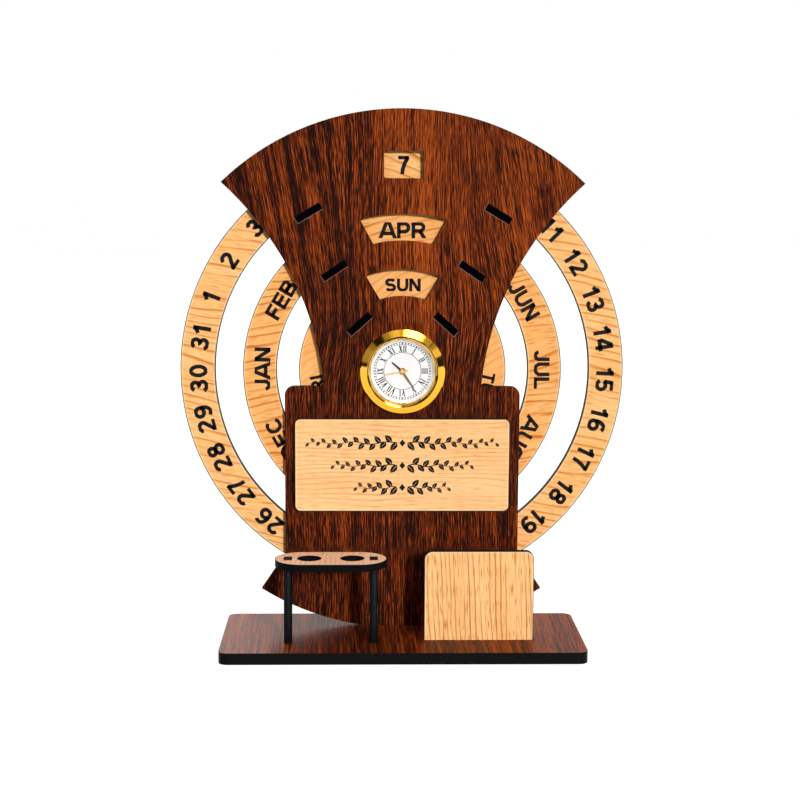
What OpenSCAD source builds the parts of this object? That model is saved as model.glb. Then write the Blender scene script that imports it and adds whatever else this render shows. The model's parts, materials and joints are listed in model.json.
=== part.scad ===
// Perpetual desk calendar: three lettered rings turn between two boards behind a fan-shaped
// front, with a push-in quartz clock, a name plate, a pen rack and a card lip on one base.
// X runs to the right, Y to the back and Z up. The origin is the middle of the base's underside.

/* [Base] */
// Width of the base
base_w = 156; // [150:1:200]
// Depth of the base, front to back
base_d = 61.5; // [58:0.5:90]
// Thickness of the base
base_t = 5; // [4:0.5:9]
// Radius of the base's corners, seen from above
base_corner_r = 4; // [1:0.5:10]

/* [Boards] */
// Thickness of the front and back panels
panel_t = 3; // [2.5:0.25:5]
// Clearance all round a tenon or guide in its slot
slot_gap = 0.1; // [0.05:0.05:0.2]
// Width of the tenon that plants each panel in the base
tenon_w = 24; // [14:1:30]

/* [Rings] */
// Height of the date ring's lowest point above the base's top
ring_lift = 16.9; // [9:0.1:30]
// Thickness of each ring
ring_t = 3; // [2.5:0.25:4]
// Air between a ring and each panel
ring_play = 0.3; // [0.2:0.05:0.6]
// Distance from the clock's hole to the weekday ring's bore
weekday_clear = 13.6; // [12:0.1:18]
// Width of the weekday ring's band
weekday_band = 15; // [12.5:0.1:20]
// Gap between the weekday ring and the month ring
month_gap = 9.7; // [7:0.1:14]
// Width of the month ring's band
month_band = 14.7; // [12.5:0.1:20]
// Gap between the month ring and the date ring
date_gap = 12.1; // [7:0.1:16]
// Width of the date ring's band
date_band = 15.2; // [12.5:0.1:20]

/* [Ring guides] */
// Length of a guide, along the ring
guide_l = 12.2; // [9:0.1:14]
// Thickness of a guide, across the ring
guide_t = 3; // [2.4:0.1:3.6]
// Play between a ring's bore and the corners of its guides
guide_gap = 0.3; // [0.2:0.05:0.6]
// How far a guide's ends stay below the panels' outer faces
guide_sink = 0.3; // [0:0.05:0.6]
// Angle of the date ring's guides from the top
date_guide_a = 30.9; // [25:0.1:36]
// Angle of the month ring's guides from the top
month_guide_a = 34.2; // [28:0.1:38]
// Angle of the weekday ring's guides from the top
weekday_guide_a = 42.3; // [38:0.1:46]

/* [Front panel] */
// Distance from the base's front edge to the front panel's face
panel_setback = 42.35; // [38:0.05:44]
// How far the fan's top edge stands beyond the date ring
fan_rim = 16.2; // [11:0.1:22]
// How far the fan reaches down behind the body's shoulders
fan_overlap = 5; // [2:0.5:12]
// Width of the waist at its narrowest
waist_w = 67.8; // [62:0.1:80]
// How far the fan's tips stand out past the ends of the base
fan_tip_out = 0.4; // [-8:0.1:8]
// How far the waist's narrowest point lies below the rings' centre
side_drop = 18.4; // [14:0.1:24]
// Width of the square-shouldered body
body_w = 102.8; // [97:0.1:112]
// How far the body's shoulders lie below the rings' centre
body_drop = 6.5; // [4:0.1:12]
// Radius of the body's shoulders
body_corner_r = 4; // [1:0.25:8]
// Width of the flat foot that the skirt's round edge leaves on the base
foot_w = 33.2; // [30:0.1:40]
// Height above the base's top where the skirt leaves the body's sides
skirt_h = 32.5; // [26:0.5:38]
// Angle of the skirt's upper edges from the vertical
skirt_a = 34; // [25:0.5:42]

/* [Windows] */
// Width of the date window
date_window_w = 16.8; // [14:0.1:22]
// Height of the date window
date_window_h = 11.6; // [9:0.1:13]
// Radius of the date window's corners
date_window_corner_r = 0.6; // [0.2:0.1:2]
// Width of the month window along its top
month_window_w = 37.4; // [30:0.1:40]
// How far the month window's top stays inside its ring's rim
month_window_rim = 1.2; // [0.4:0.1:3]
// How far the month window's foot stays above its ring's bore
month_window_sill = 1.9; // [0.4:0.1:3]
// Slant of the month window's sides from the vertical
month_window_a = 28.7; // [15:0.1:35]
// Width of the weekday window along its top
weekday_window_w = 32.2; // [26:0.1:34]
// How far the weekday window's top stays inside its ring's rim
weekday_window_rim = 0.7; // [0.4:0.1:3]
// How far the weekday window's foot stays above its ring's bore
weekday_window_sill = 2.6; // [0.4:0.1:3]
// Slant of the weekday window's sides from the vertical
weekday_window_a = 30.7; // [15:0.1:35]

/* [Back panel] */
// How far the back panel's outline stays inside the front panel's
back_inset = 2.5; // [1.5:0.1:4]
// Width of the back panel's foot
back_foot_w = 34; // [32:1:44]
// How much wider than the clock's hole the opening behind it is, on each side
back_hole_gap = 1.3; // [0.5:0.1:3]

/* [Spacers] */
// Half-angle that the top spacer fills behind the fan
top_spacer_a = 22; // [10:1:30]
// Width of the foot spacer
foot_spacer_w = 28; // [20:1:32]
// Air between the date ring's rim and the spacers
spacer_gap = 3; // [1:0.5:5]

/* [Name plate] */
// Width of the name plate
name_w = 94; // [70:0.5:96]
// Height of the name plate
name_h = 41; // [25:0.5:44]
// Thickness of the name plate
name_t = 3; // [2:0.25:4]
// Radius of the name plate's corners
name_corner_r = 2.5; // [0.5:0.25:6]
// How far the name plate's middle lies below the rings' centre
name_drop = 41; // [41:0.5:46]

/* [Pen rack] */
// Width of the rack's top plate
rack_w = 47.7; // [46:0.1:54]
// Depth of the rack's top plate
rack_d = 23.5; // [20:0.1:26]
// Thickness of the rack's top plate
rack_t = 3; // [2.5:0.25:4]
// Height of the rack's top above the base's top
rack_h = 36.3; // [25:0.1:60]
// Distance from the base's middle to the rack's middle, to the left
rack_x = 30.9; // [30:0.1:42]
// Distance from the base's front edge to the rack's front edge
rack_setback = 6.5; // [4:0.1:16]
// Diameter of a pen hole
pen_hole_d = 10.5; // [8:0.1:12]
// Distance between the pen holes' centres
pen_spacing = 18.4; // [17:0.1:21]
// Thickness of a rack leg
leg_t = 3.3; // [2.5:0.1:4]
// Depth of a rack leg, front to back
leg_d = 8.4; // [7:0.1:14]
// Distance between the legs' centres
leg_spacing = 36.7; // [35.5:0.1:38]
// Depth of a leg's tabs, front to back
leg_tab_d = 6.6; // [4:0.1:6.8]
// Rounding of a leg's front edges
leg_edge_r = 0.8; // [0.2:0.1:1.2]

/* [Card lip] */
// Width of the lip
lip_w = 47.1; // [36:0.1:56]
// Height of the lip
lip_h = 39.1; // [25:0.1:60]
// Thickness of the lip
lip_t = 3; // [2.5:0.25:4]
// Radius of the lip's upper corners
lip_corner_r = 3.5; // [1:0.25:8]
// Distance from the base's middle to the lip's middle, to the right
lip_x = 32.8; // [30:0.1:40]
// Distance from the base's front edge to the lip's face
lip_setback = 19; // [12:0.1:22]
// Width of the lip's tenon
lip_tenon_w = 26; // [14:1:32]

/* [Clock insert] */
// Diameter of the hole that the insert pushes into
insert_hole_d = 33.4; // [31:0.1:38]
// How far the bezel's rim reaches beyond the hole
bezel_rim = 1.8; // [0.8:0.05:2.2]
// How far the bezel stands in front of the panel
bezel_h = 2.6; // [2.2:0.1:3.6]
// How far the lens lies below the bezel's top
lens_sink = 0.9; // [0.7:0.1:1.2]
// Thickness of the bezel's sleeve round the lens and the dial
sleeve_t = 0.4; // [0.3:0.05:0.7]
// How much of the lens's edge the bezel covers
lens_hold = 0.5; // [0.3:0.1:0.9]
// Width of the bright inner ring round the dial
dial_ring_w = 0.9; // [0.6:0.1:1.4]
// Width of the slope of that ring
dial_slope_w = 1.5; // [0.6:0.1:1.8]
// Space between the case and the hole, for the rubber band
band_t = 1; // [0.8:0.05:1.3]
// Radial clearance of the rubber band in the hole
band_gap = 0.1; // [0.05:0.05:0.2]
// Spacing of the rubber band's ridges
ridge_pitch = 1.5; // [1.2:0.1:1.8]
// Depth of the grooves between the ridges
ridge_depth = 0.4; // [0.2:0.05:0.5]
// Thickness of the case's wall
case_wall = 0.9; // [0.7:0.05:1.1]
// Width of the case's ledge under the movement
case_ledge = 0.9; // [0.6:0.1:1.2]
// Depth of the insert behind the panel's face
insert_depth = 9.6; // [9.4:0.1:11]
// Thickness of the lens
lens_t = 1; // [0.6:0.1:1.2]
// Thickness of the dial
dial_t = 0.4; // [0.3:0.05:0.5]

/* [Hands] */
// Reach of the hour hand
hour_l = 5.9; // [5:0.1:8]
// Reach of the minute hand
minute_l = 8.9; // [8:0.1:12]
// Reach of the second hand
second_l = 8.6; // [8:0.1:12]
// Reach of the second hand's tail
second_tail = 2.3; // [1.5:0.1:3.5]
// Angle of the hour hand at rest, clockwise from twelve
hour_a = 311; // [0:1:359]
// Angle of the minute hand at rest, clockwise from twelve
minute_a = 145.5; // [0:0.5:359.5]
// Angle of the second hand at rest, clockwise from twelve
second_a = 259.2; // [0:0.1:359.9]
// Radial running clearance of one turning pipe in the next
pipe_gap = 0.07; // [0.03:0.01:0.09]

/* [Motion work] */
// Module of the cannon pinion and the minute wheel
cannon_module = 0.2; // [0.18:0.01:0.22]
// Teeth of the cannon pinion
cannon_teeth = 12; // [11:1:14]
// Teeth of the minute wheel
minute_wheel_teeth = 36; // [32:1:38]
// Teeth of the minute wheel's pinion
minute_pinion_teeth = 10; // [9:1:12]
// Teeth of the hour wheel
hour_wheel_teeth = 40; // [36:1:44]
// Play between meshed teeth, along the pitch circle
backlash = 0.08; // [0.06:0.01:0.12]
// Ridges round the setting knob
knob_ridges = 20; // [16:1:24]
// How far the setting knob stands behind the rear cover
knob_out = 0.9; // [0.4:0.1:2]

/* [Hidden] */
$fn = 96;

// Board colours
WALNUT = "#5a2b18";
MAPLE = "#eebf85";
BLACK = "#15171a";
GOLD = "#e0a83a";
BRASS = "#c9a24b";

// Radii of the rings, from the clock outwards
hole_r = insert_hole_d / 2;
weekday_bore = hole_r + weekday_clear;
weekday_r = weekday_bore + weekday_band;
month_bore = weekday_r + month_gap;
month_r = month_bore + month_band;
date_bore = month_r + date_gap;
date_r = date_bore + date_band;
fan_r = date_r + fan_rim;
ring_h = date_r + ring_lift;
skirt_r = norm([ring_h, foot_w / 2]);

// Hollow sides: an arc from the waist's narrowest point to the fan's tip
tip_x = base_w / 2 + fan_tip_out;
tip_out = tip_x - waist_w / 2;
tip_rise = sqrt(fan_r * fan_r - tip_x * tip_x) + side_drop;
side_r = (tip_out * tip_out + tip_rise * tip_rise) / (2 * tip_out);
side_x = waist_w / 2 + side_r;

// Places of the boards, front to back
front_y = -base_d / 2;
face_y = front_y + panel_setback;
ring_y = face_y + panel_t + ring_play;
back_y = ring_y + ring_t + ring_play;
rear_y = back_y + panel_t;
centre_z = base_t + ring_h;
body_top = -body_drop;
back_r = fan_r - back_inset;

// Places of the rack and the lip
rack_mid_y = front_y + rack_setback + rack_d / 2;
rack_under = base_t + rack_h - rack_t;
lip_y = front_y + lip_setback;
leg_front_y = rack_mid_y - leg_d / 2;
leg_tab_y = rack_mid_y - leg_tab_d / 2;

// Radii of the clock's shell
bezel_r = hole_r + bezel_rim;
case_r = hole_r - band_t;
case_in = case_r - case_wall;
lens_r = case_r - sleeve_t;

// Depths inside the clock, measured back from the panel's face
lens_front = lens_sink - bezel_h;
lens_back = lens_front + lens_t;
second_depth = 0.3;
second_t = 0.15;
minute_depth = 0.8;
hour_depth = 1.3;
hand_t = 0.2;
dial_depth = 2.1;
dial_back = dial_depth + dial_t;
hour_wheel_depth = dial_back + 0.3;
hour_wheel_t = 0.4;
minute_wheel_depth = hour_wheel_depth + hour_wheel_t + 0.3;
minute_wheel_t = 0.6;
plate_depth = minute_wheel_depth + minute_wheel_t + 0.2;
plate_t = 0.8;
movement_depth = plate_depth + plate_t;
cover_t = 0.8;
cover_depth = insert_depth - cover_t;
movement_back = cover_depth - 0.5;
knob_depth = movement_back + 0.2;
ledge_t = 0.8;

// Radii of the pipes on the clock's axis
arbor_r = 0.25;
cannon_bore = arbor_r + pipe_gap;
cannon_r = 0.65;
hour_pipe_bore = cannon_r + pipe_gap;
hour_pipe_r = 1.05;
dial_hole_r = hour_pipe_r + 0.1;
press_gap = 0.02;

// Motion work
wheel_distance = cannon_module * (cannon_teeth + minute_wheel_teeth) / 2;
pinion_module = 2 * wheel_distance / (minute_pinion_teeth + hour_wheel_teeth);

// Movement pieces
movement_r = case_in - case_ledge - 1.5;
battery_r = 3.4;
battery_t = 1.9;
battery_reach = movement_r - battery_r - 2;
battery_x = -battery_reach * cos(31);
battery_z = -battery_reach * sin(31);
coil_r = 1.15;
coil_l = 8;
coil_z = movement_r - 2 * coil_r - 2.5;
train_recess_r = 4;
train_recess = 0.9;
seconds_wheel_r = 3.4;
knob_arbor_r = 0.4;
arbor_gap = 0.05;
knob_ridge = 0.2;
knob_r = knob_ridge * (knob_ridges / 2 + 0.8);
knob_gap = 0.35;

// Upright board: a drawing on X and Z, from y back through its thickness
module board(y, t) {
    translate([0, y + t, 0])
        rotate([90, 0, 0])
            linear_extrude(t)
                children();
}

// The same, for a drawing about the rings' centre
module centred_board(y, t) {
    translate([0, 0, centre_z])
        board(y, t)
            children();
}

// A piece of the clock, drawn about its axis and placed by its depth behind the panel's face
module clock_board(depth, t) {
    centred_board(face_y + depth, t)
        children();
}

// Turned piece on the clock's axis: the profile's X is the radius and its Y the depth
module clock_turning() {
    translate([0, face_y, centre_z])
        rotate([-90, 0, 0])
            rotate_extrude()
                children();
}

module rounded_square(w, h, r) {
    square([w - 2 * r, h], center = true);
    square([w, h - 2 * r], center = true);
    for (sx = [-1, 1], sy = [-1, 1])
        translate([sx * (w / 2 - r), sy * (h / 2 - r)])
            circle(r);
}

// Upright rectangle on its foot at y = 0, with only its upper corners rounded
module shouldered(w, h, r) {
    translate([-w / 2, 0])
        square([w, h - r]);
    translate([r - w / 2, 0])
        square([w - 2 * r, h]);
    for (s = [-1, 1])
        translate([s * (w / 2 - r), h - r])
            circle(r);
}

module ring(outer, bore) {
    difference() {
        circle(outer);
        circle(bore);
    }
}

// Distance from the centre to a guide's outer face, so that its corners clear the bore
function guide_reach(bore) = sqrt(pow(bore - guide_gap, 2) - pow(guide_l / 2, 2));

module guide_pair(bore, angle, gap) {
    for (s = [-1, 1])
        rotate(s * angle)
            translate([0, guide_reach(bore) - guide_t / 2])
                square([guide_l + 2 * gap, guide_t + 2 * gap], center = true);
}

module all_guides(gap) {
    guide_pair(date_bore, date_guide_a, gap);
    guide_pair(month_bore, month_guide_a, gap);
    guide_pair(weekday_bore, weekday_guide_a, gap);
}

// Half-width of a slanted window at a height, from its width at the outer arc
function slant_half(w, outer, a, z) = w / 2 - (sqrt(outer * outer - w * w / 4) - z) * tan(a);

module arc_window(outer, bore, w, a) {
    top = outer + 1;
    low = bore * 0.8;
    intersection() {
        ring(outer, bore);
        polygon([
            [-slant_half(w, outer, a, top), top],
            [slant_half(w, outer, a, top), top],
            [slant_half(w, outer, a, low), low],
            [-slant_half(w, outer, a, low), low]
        ]);
    }
}

module windows() {
    translate([0, date_r - date_band / 2])
        rounded_square(date_window_w, date_window_h, date_window_corner_r);
    arc_window(month_r - month_window_rim, month_bore + month_window_sill,
               month_window_w, month_window_a);
    arc_window(weekday_r - weekday_window_rim, weekday_bore + weekday_window_sill,
               weekday_window_w, weekday_window_a);
}

module hollow_sides(extra) {
    for (s = [-1, 1])
        translate([s * side_x, -side_drop])
            circle(side_r + extra);
}

// The fan and the waist, down to a little below the shoulders
module fan() {
    low = body_top - fan_overlap;
    difference() {
        intersection() {
            circle(fan_r);
            translate([-fan_r, low])
                square([2 * fan_r, fan_r - low]);
        }
        hollow_sides(0);
    }
}

// The body with its flared skirt, cut flat where it stands on the base
module body_and_skirt() {
    skirt_top = skirt_h - ring_h;
    spread = (skirt_top + skirt_r) * tan(skirt_a);
    intersection() {
        union() {
            translate([0, -ring_h])
                shouldered(body_w, ring_h - body_drop, body_corner_r);
            polygon([
                [-body_w / 2, skirt_top],
                [body_w / 2, skirt_top],
                [body_w / 2 + spread, -skirt_r],
                [-body_w / 2 - spread, -skirt_r]
            ]);
        }
        circle(skirt_r);
        translate([-skirt_r, -ring_h])
            square([2 * skirt_r, ring_h]);
    }
}

module panel_tenon(gap) {
    translate([-tenon_w / 2 - gap, -base_t])
        square([tenon_w + 2 * gap, base_t + 1]);
}

module base_plate() {
    color(WALNUT)
        difference() {
            linear_extrude(base_t)
                rounded_square(base_w, base_d, base_corner_r);
            tenon_slot(0, face_y, tenon_w, panel_t);
            tenon_slot(0, back_y, tenon_w, panel_t);
            tenon_slot(lip_x, lip_y, lip_tenon_w, lip_t);
            for (s = [-1, 1])
                tenon_slot(s * leg_spacing / 2 - rack_x, leg_tab_y, leg_t, leg_tab_d);
        }
}

// Slot through the base for a tenon of a width and depth that starts at y
module tenon_slot(x, y, w, d) {
    translate([x - w / 2 - slot_gap, y - slot_gap, -1])
        cube([w + 2 * slot_gap, d + 2 * slot_gap, base_t + 2]);
}

module front_panel() {
    color(WALNUT)
        union() {
            centred_board(face_y, panel_t)
                difference() {
                    union() {
                        fan();
                        body_and_skirt();
                    }
                    windows();
                    all_guides(slot_gap);
                    circle(hole_r);
                }
            translate([0, 0, base_t])
                board(face_y, panel_t)
                    panel_tenon(0);
        }
}

module back_panel() {
    color(WALNUT)
        union() {
            centred_board(back_y, panel_t)
                difference() {
                    union() {
                        difference() {
                            intersection() {
                                circle(back_r);
                                translate([-back_r, -ring_h])
                                    square([2 * back_r, ring_h + back_r]);
                            }
                            hollow_sides(back_inset);
                        }
                        translate([-back_foot_w / 2, -ring_h])
                            square([back_foot_w, ring_h - date_bore]);
                    }
                    all_guides(slot_gap);
                    circle(hole_r + back_hole_gap);
                }
            translate([0, 0, base_t])
                board(back_y, panel_t)
                    panel_tenon(0);
        }
}

module top_spacer() {
    reach = back_r - 1;
    color(BLACK)
        centred_board(face_y + panel_t, ring_t + 2 * ring_play)
            intersection() {
                ring(reach, date_r + spacer_gap);
                polygon([
                    [0, 0],
                    [2 * reach * sin(top_spacer_a), 2 * reach * cos(top_spacer_a)],
                    [-2 * reach * sin(top_spacer_a), 2 * reach * cos(top_spacer_a)]
                ]);
            }
}

module foot_spacer() {
    color(BLACK)
        translate([-foot_spacer_w / 2, face_y + panel_t, base_t])
            cube([foot_spacer_w, ring_t + 2 * ring_play, ring_h - date_r - spacer_gap]);
}

module date_ring() {
    color(MAPLE)
        centred_board(ring_y, ring_t)
            ring(date_r, date_bore);
}

module month_ring() {
    color(MAPLE)
        centred_board(ring_y, ring_t)
            ring(month_r, month_bore);
}

module weekday_ring() {
    color(MAPLE)
        centred_board(ring_y, ring_t)
            ring(weekday_r, weekday_bore);
}

module guides(bore, angle) {
    color(BLACK)
        centred_board(face_y + guide_sink, rear_y - face_y - 2 * guide_sink)
            guide_pair(bore, angle, 0);
}

module date_guides() {
    guides(date_bore, date_guide_a);
}

module month_guides() {
    guides(month_bore, month_guide_a);
}

module weekday_guides() {
    guides(weekday_bore, weekday_guide_a);
}

module name_plate() {
    color(MAPLE)
        translate([0, 0, centre_z - name_drop])
            board(face_y - name_t, name_t)
                rounded_square(name_w, name_h, name_corner_r);
}

module rack_top() {
    color(MAPLE)
        translate([-rack_x, rack_mid_y, rack_under])
            difference() {
                linear_extrude(rack_t) {
                    square([rack_w - rack_d, rack_d], center = true);
                    for (s = [-1, 1])
                        translate([s * (rack_w - rack_d) / 2, 0])
                            circle(d = rack_d);
                }
                for (s = [-1, 1]) {
                    translate([s * pen_spacing / 2, 0, -1])
                        cylinder(d = pen_hole_d, h = rack_t + 2);
                    translate([s * leg_spacing / 2 - leg_t / 2 - slot_gap,
                               -leg_tab_d / 2 - slot_gap, -1])
                        cube([leg_t + 2 * slot_gap, leg_tab_d + 2 * slot_gap, rack_t + 2]);
                }
            }
}

// Leg between the base and the rack's top, with a tab through each
module rack_leg(side) {
    x = side * leg_spacing / 2 - rack_x;
    color(BLACK)
        union() {
            translate([x, leg_front_y, base_t])
                linear_extrude(rack_under - base_t) {
                    translate([-leg_t / 2, leg_edge_r])
                        square([leg_t, leg_d - leg_edge_r]);
                    translate([leg_edge_r - leg_t / 2, 0])
                        square([leg_t - 2 * leg_edge_r, leg_edge_r * 2]);
                    for (s = [-1, 1])
                        translate([s * (leg_t / 2 - leg_edge_r), leg_edge_r])
                            circle(leg_edge_r);
                }
            translate([x - leg_t / 2, leg_tab_y, 0])
                cube([leg_t, leg_tab_d, rack_under + rack_t]);
        }
}

module rack_leg_left() {
    rack_leg(-1);
}

module rack_leg_right() {
    rack_leg(1);
}

module lip_plate() {
    color(MAPLE)
        union() {
            translate([lip_x, 0, base_t])
                board(lip_y, lip_t)
                    shouldered(lip_w, lip_h, lip_corner_r);
            translate([lip_x - lip_tenon_w / 2, lip_y, 0])
                cube([lip_tenon_w, lip_t, base_t + 1]);
        }
}

// Polished ring with a sleeve that slips into the hole, and a lip that holds the lens
module clock_bezel() {
    lip_r = lens_r - lens_hold;
    crest_r = lens_r + 0.3;
    color(GOLD)
        clock_turning()
            polygon([
                [bezel_r, 0],
                [bezel_r, -0.5 * bezel_h],
                [bezel_r - 0.3, -0.6 * bezel_h],
                [crest_r, -bezel_h],
                [lens_r + 0.05, lens_front - 0.75 * lens_sink],
                [lip_r, lens_front - lens_sink / 3],
                [lip_r, lens_front],
                [lens_r + press_gap, lens_front],
                [lens_r + press_gap, dial_back],
                [case_r, dial_back],
                [case_r, 0]
            ]);
}

module clock_lens() {
    color("#dfe9ee", 0.35)
        clock_board(lens_front, lens_t)
            circle(lens_r);
}

// Bright ring between the lens and the dial, sloping in to the edge of the print
module dial_ring() {
    color(GOLD)
        clock_turning()
            polygon([
                [lens_r, lens_back],
                [lens_r, dial_depth],
                [lens_r - dial_ring_w - dial_slope_w, dial_depth],
                [lens_r - dial_ring_w, lens_back]
            ]);
}

module clock_dial() {
    color("white")
        clock_board(dial_depth, dial_t)
            ring(lens_r, dial_hole_r);
}

// Plastic barrel with a ledge that the movement's plate rests on
module clock_case() {
    color(BLACK)
        union() {
            clock_board(dial_back, cover_depth - dial_back)
                ring(case_r, case_in);
            clock_board(movement_depth, ledge_t)
                ring(case_r, case_in - case_ledge);
        }
}

// Ribbed rubber band that grips the hole, with a taper behind its last ridge
module fit_band() {
    band_in = case_r + press_gap;
    band_out = hole_r - band_gap;
    groove_r = band_out - ridge_depth;
    crest = ridge_pitch / 2;
    color(BLACK)
        clock_turning()
            polygon([
                [band_in, 0.1],
                [groove_r, 0.1],
                for (i = [0:2])
                    for (p = [[groove_r, 0.1], [band_out, 0.3], [band_out, crest], [groove_r, crest + 0.2]])
                        [p[0], p[1] + i * ridge_pitch + 0.2],
                [band_in, 3 * ridge_pitch + 1]
            ]);
}

// Cover behind the barrel, open round the setting knob
module rear_cover() {
    color(BLACK)
        clock_board(cover_depth, cover_t)
            difference() {
                circle(case_r);
                translate([0, -wheel_distance])
                    circle(knob_r + knob_gap);
            }
}

// Plate between the motion work and the train, with a bearing for each arbor
module movement_plate() {
    color(BRASS)
        clock_board(plate_depth, plate_t)
            difference() {
                circle(case_in - slot_gap);
                circle(arbor_r + arbor_gap);
                translate([0, -wheel_distance])
                    circle(knob_arbor_r + arbor_gap);
            }
}

// Moulded block behind the plate, with pockets for the train, the cell and the coil
module movement_body() {
    color("#d9d6cc")
        difference() {
            clock_board(movement_depth, movement_back - movement_depth)
                circle(movement_r);
            clock_board(movement_depth - 1, train_recess + 1)
                circle(train_recess_r);
            clock_board(movement_back - battery_t - 0.1, battery_t + 1)
                translate([battery_x, battery_z])
                    circle(battery_r + 0.1);
            clock_board(movement_back - 2 * coil_r - 0.2, 2 * coil_r + 1)
                translate([0, coil_z])
                    square([coil_l + 1, 2 * coil_r + 0.2], center = true);
            clock_board(movement_depth - 1, movement_back)
                translate([0, -wheel_distance])
                    circle(knob_arbor_r + arbor_gap);
        }
}

module drive_coil() {
    color("#b5651d")
        translate([-coil_l / 2, face_y + movement_back - coil_r - 0.1, centre_z + coil_z])
            rotate([0, 90, 0])
                union() {
                    cylinder(r = coil_r, h = coil_l);
                    translate([0, 0, -0.4])
                        cylinder(r = coil_r / 2, h = coil_l + 0.8);
                }
}

module battery() {
    color("silver")
        clock_board(movement_back - battery_t, battery_t)
            translate([battery_x, battery_z])
                circle(battery_r);
}

// Spring strap that holds the cell in its pocket
module battery_clip() {
    color("silver")
        clock_board(movement_back, 0.2)
            translate([battery_x, battery_z])
                rounded_square(2.4, 2 * battery_r + 1.6, 0.6);
}

// A gear's outline: tapered teeth about the pitch circle, the first tooth at an angle
module gear(teeth, m, phase) {
    pitch_r = teeth * m / 2;
    root_r = pitch_r - 1.1 * m;
    tip_r = pitch_r + 0.8 * m;
    step = 360 / teeth;
    tooth = (90 * m - backlash * 90 / PI) / pitch_r;
    polygon([
        for (i = [0:teeth - 1])
            for (p = [[-1.45, root_r], [-0.95, pitch_r], [-0.4, tip_r],
                      [0.4, tip_r], [0.95, pitch_r], [1.45, root_r]])
                let (a = phase + i * step + p[0] * tooth / 2)
                    [p[1] * cos(a), p[1] * sin(a)]
    ]);
}

// Slim hand from its hub to its tip, turned clockwise from twelve
module hand(reach, hub_r, bore, root_w, tip_w, a) {
    rotate(-a)
        difference() {
            union() {
                circle(hub_r);
                polygon([
                    [-root_w / 2, 0],
                    [root_w / 2, 0],
                    [tip_w / 2, reach],
                    [-tip_w / 2, reach]
                ]);
            }
            circle(bore);
        }
}

module hour_hand() {
    color(BRASS)
        clock_board(hour_depth, hand_t)
            hand(hour_l, 1.35, hour_pipe_r + press_gap, 0.8, 0.45, hour_a);
}

// Hour wheel on its pipe, which carries the hour hand through the dial
module hour_wheel() {
    color(BRASS)
        union() {
            clock_board(hour_wheel_depth, hour_wheel_t)
                difference() {
                    gear(hour_wheel_teeth, pinion_module, 270);
                    circle(hour_pipe_bore);
                }
            clock_board(hour_depth - 0.1, hour_wheel_depth - hour_depth + 0.2)
                ring(hour_pipe_r, hour_pipe_bore);
        }
}

module minute_hand() {
    color(BRASS)
        clock_board(minute_depth, hand_t)
            hand(minute_l, 1.2, cannon_r + press_gap, 0.75, 0.35, minute_a);
}

// Cannon pinion: the minute hand's pipe, with the teeth that drive the minute wheel
module cannon_pinion() {
    color(BRASS)
        union() {
            clock_board(minute_wheel_depth, minute_wheel_t)
                difference() {
                    gear(cannon_teeth, cannon_module, 270);
                    circle(cannon_bore);
                }
            clock_board(minute_depth - 0.15, minute_wheel_depth - minute_depth + 0.3)
                ring(cannon_r, cannon_bore);
        }
}

// Minute wheel and its pinion, one piece on the setting knob's arbor
module minute_wheel() {
    color(BRASS)
        translate([0, 0, -wheel_distance])
            difference() {
                union() {
                    clock_board(minute_wheel_depth, minute_wheel_t)
                        gear(minute_wheel_teeth, cannon_module, 90 + 180 / minute_wheel_teeth);
                    clock_board(hour_wheel_depth, minute_wheel_depth - hour_wheel_depth + 0.1)
                        gear(minute_pinion_teeth, pinion_module, 90 + 180 / minute_pinion_teeth);
                }
                clock_board(dial_back, plate_depth - dial_back)
                    circle(knob_arbor_r + press_gap);
            }
}

module second_hand() {
    color(GOLD)
        clock_board(second_depth, second_t)
            difference() {
                union() {
                    hand(second_l, 1, arbor_r + press_gap, 0.45, 0.25, second_a);
                    hand(second_tail, 0.9, arbor_r + press_gap, 0.5, 0.6, second_a + 180);
                }
                circle(arbor_r + press_gap);
            }
}

// Seconds wheel and its arbor, which runs forward through the cannon pinion
module seconds_wheel() {
    color(BRASS)
        union() {
            clock_board(movement_depth + 0.2, 0.3)
                circle(seconds_wheel_r);
            clock_board(second_depth - 0.1, movement_depth + 0.9 - second_depth)
                circle(arbor_r);
        }
}

// Ridged knob behind the clock that sets the hands through the minute wheel's arbor
module setting_knob() {
    arbor_depth = hour_wheel_depth - 0.1;
    color(BLACK)
        translate([0, 0, -wheel_distance])
            union() {
                clock_board(knob_depth, insert_depth + knob_out - knob_depth)
                    gear(knob_ridges, knob_ridge, 0);
                clock_board(arbor_depth, knob_depth + 0.1 - arbor_depth)
                    circle(knob_arbor_r);
            }
}

base_plate();
front_panel();
back_panel();
top_spacer();
foot_spacer();
date_ring();
month_ring();
weekday_ring();
date_guides();
month_guides();
weekday_guides();
name_plate();
rack_top();
rack_leg_left();
rack_leg_right();
lip_plate();
clock_bezel();
clock_lens();
dial_ring();
clock_dial();
clock_case();
fit_band();
rear_cover();
movement_plate();
movement_body();
drive_coil();
battery();
battery_clip();
hour_hand();
hour_wheel();
minute_hand();
cannon_pinion();
minute_wheel();
second_hand();
seconds_wheel();
setting_knob();
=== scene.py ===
# %% [markdown]
# A desk clock with a calendar.
# A fan-shaped walnut board stands on a walnut base and carries a small gold-rimmed clock.
# Three pale wooden rings turn behind the board, and its windows show the date, the month and the day.
# The construction comes from the CAD model: here it is loaded as a fixed frame, and gets its finishes,
# its printed figures and its light.

# %% The frame
import json
import math

import bmesh
import bpy
from mathutils import Matrix, Vector

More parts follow.
